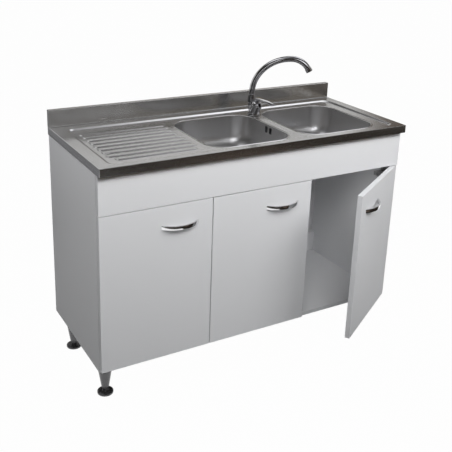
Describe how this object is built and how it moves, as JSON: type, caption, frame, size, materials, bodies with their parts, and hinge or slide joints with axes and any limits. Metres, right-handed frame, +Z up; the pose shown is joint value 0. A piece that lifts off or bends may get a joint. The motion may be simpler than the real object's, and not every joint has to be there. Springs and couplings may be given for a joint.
{
  "type": "kitchen sink unit",
  "caption": "Free-standing kitchen sink base unit with white doors, steel worktop with drainer and round bowls, a swan-neck tap, bow handles and adjustable legs.",
  "frame": {"origin": "middle of the floor box that the unit fills with its right door ajar", "axes": "+X to the right seen from the front, +Y to the wall behind, +Z up"},
  "size_m": [1.2, 0.681, 1.0782],
  "materials": {
    "white_board": "satin",
    "steel_sheet": "satin",
    "steel_bowl": "satin",
    "batten_board": "matte",
    "dowel_wood": "matte",
    "plated_steel": "satin",
    "bumper_rubber": "satin",
    "tap_rubber": "matte",
    "handle_chrome": "polished",
    "leg_metal": "satin",
    "foot_metal": "satin",
    "tap_chrome": "polished",
    "collar_chrome": "gloss",
    "tap_brass": "satin",
    "waste_steel": "gloss",
    "pipe_plastic": "satin"
  },
  "bodies": {
    "unit": {"side_left": "white_board", "side_right": "white_board", "partition": "white_board", "bottom_panel": "white_board", "back_panel": "white_board", "rear_rails": "white_board", "fascia": "white_board", "worktop": "steel_sheet", "bowl_left": "steel_bowl", "bowl_right": "steel_bowl", "overflow_box": "steel_bowl", "worktop_battens": "batten_board", "carcass_dowels": "dowel_wood", "fascia_brackets": "plated_steel", "hinge_plates": "plated_steel", "hinge_arms": "plated_steel", "hinge_screws": "plated_steel", "leg_studs": "plated_steel", "door_bumpers": "bumper_rubber", "tap_gasket": "tap_rubber", "legs": "leg_metal", "leg_plates": "leg_metal", "tap_body": "tap_chrome", "tap_shank": "tap_brass", "tap_nut": "tap_brass", "tap_washer": "tap_brass", "tap_inlets": "tap_brass", "waste_left": "waste_steel", "waste_right": "waste_steel", "waste_nuts": "pipe_plastic", "cross_pipe": "pipe_plastic", "trap_body": "pipe_plastic", "trap_cup": "pipe_plastic", "outlet_pipe": "pipe_plastic"},
    "foot_front_left": {"foot_front_left": "foot_metal"},
    "foot_front_right": {"foot_front_right": "foot_metal"},
    "foot_rear_left": {"foot_rear_left": "foot_metal"},
    "foot_rear_right": {"foot_rear_right": "foot_metal"},
    "hinge_link_left": {"hinge_links_left": "plated_steel"},
    "hinge_link_middle": {"hinge_links_middle": "plated_steel"},
    "hinge_link_right": {"hinge_links_right": "plated_steel"},
    "door_left": {"door_left": "white_board", "handle_left": "handle_chrome", "handle_screws_left": "plated_steel", "hinge_cups_left": "plated_steel"},
    "door_middle": {"door_middle": "white_board", "handle_middle": "handle_chrome", "handle_screws_middle": "plated_steel", "hinge_cups_middle": "plated_steel"},
    "door_right": {"door_right": "white_board", "handle_right": "handle_chrome", "handle_screws_right": "plated_steel", "hinge_cups_right": "plated_steel"},
    "tap_spout": {"tap_spout": "tap_chrome", "spout_collar": "collar_chrome", "spout_aerator": "tap_chrome"},
    "tap_control": {"tap_control_cap": "tap_chrome"},
    "tap_lever": {"tap_lever": "tap_chrome"},
    "basket_left": {"basket_left": "waste_steel"},
    "basket_right": {"basket_right": "waste_steel"}
  },
  "joints": [
    {"name": "hinge_link_left_turn", "type": "hinge", "parent": "unit", "child": "hinge_link_left", "pos_m": [-0.552, -0.10947, 0.413], "axis": [0, 0, -1], "range_deg": [-45.91, 0]},
    {"name": "door_left_open", "type": "hinge", "parent": "hinge_link_left", "child": "door_left", "pos_m": [-0.5796, -0.12177, 0.413], "axis": [0, 0, -1], "range_deg": [0, 135.9]},
    {"name": "hinge_link_middle_turn", "type": "hinge", "parent": "unit", "child": "hinge_link_middle", "pos_m": [-0.15233, -0.10947, 0.413], "axis": [0, 0, -1], "range_deg": [-45.91, 0]},
    {"name": "door_middle_open", "type": "hinge", "parent": "hinge_link_middle", "child": "door_middle", "pos_m": [-0.17993, -0.12177, 0.413], "axis": [0, 0, -1], "range_deg": [0, 135.9]},
    {"name": "hinge_link_right_turn", "type": "hinge", "parent": "unit", "child": "hinge_link_right", "pos_m": [0.552, -0.10947, 0.413], "axis": [0, 0, 1], "range_deg": [-29.79, 16.13]},
    {"name": "door_right_open", "type": "hinge", "parent": "hinge_link_right", "child": "door_right", "pos_m": [0.5751, -0.12895, 0.413], "axis": [0, 0, 1], "range_deg": [-47.72, 88.18]},
    {"name": "spout_swivel", "type": "hinge", "parent": "unit", "child": "tap_spout", "pos_m": [0.161, 0.22453, 0.9], "axis": [0, 0, 1], "range_deg": [-135, 35]},
    {"name": "control_turn", "type": "hinge", "parent": "unit", "child": "tap_control", "pos_m": [0.161, 0.20653, 0.8485], "axis": [0, -0.454, 0.891], "range_deg": [-45, 45]},
    {"name": "lever_lift", "type": "hinge", "parent": "tap_control", "child": "tap_lever", "pos_m": [0.161, 0.1802, 0.90018], "axis": [-1, 0, 0], "range_deg": [0, 25]},
    {"name": "basket_left_lift", "type": "slide", "parent": "unit", "child": "basket_left", "axis": [0, 0, 1], "range_m": [0, 0.04]},
    {"name": "basket_right_lift", "type": "slide", "parent": "unit", "child": "basket_right", "axis": [0, 0, 1], "range_m": [0, 0.04]},
    {"name": "foot_front_left_turn", "type": "hinge", "parent": "unit", "child": "foot_front_left", "pos_m": [-0.554, -0.04947, 0.01], "axis": [0, 0, 1], "range_deg": [-180, 180]},
    {"name": "foot_rear_left_turn", "type": "hinge", "parent": "unit", "child": "foot_rear_left", "pos_m": [-0.554, 0.27253, 0.01], "axis": [0, 0, 1], "range_deg": [-180, 180]},
    {"name": "foot_front_right_turn", "type": "hinge", "parent": "unit", "child": "foot_front_right", "pos_m": [0.554, -0.04947, 0.01], "axis": [0, 0, 1], "range_deg": [-180, 180]},
    {"name": "foot_rear_right_turn", "type": "hinge", "parent": "unit", "child": "foot_rear_right", "pos_m": [0.554, 0.27253, 0.01], "axis": [0, 0, 1], "range_deg": [-180, 180]}
  ],
  "couplings": [
    {"joint": "hinge_link_left_turn", "follows": "door_left_open", "ratio": -0.33775},
    {"joint": "hinge_link_middle_turn", "follows": "door_middle_open", "ratio": -0.33775},
    {"joint": "hinge_link_right_turn", "follows": "door_right_open", "ratio": -0.33775}
  ]
}
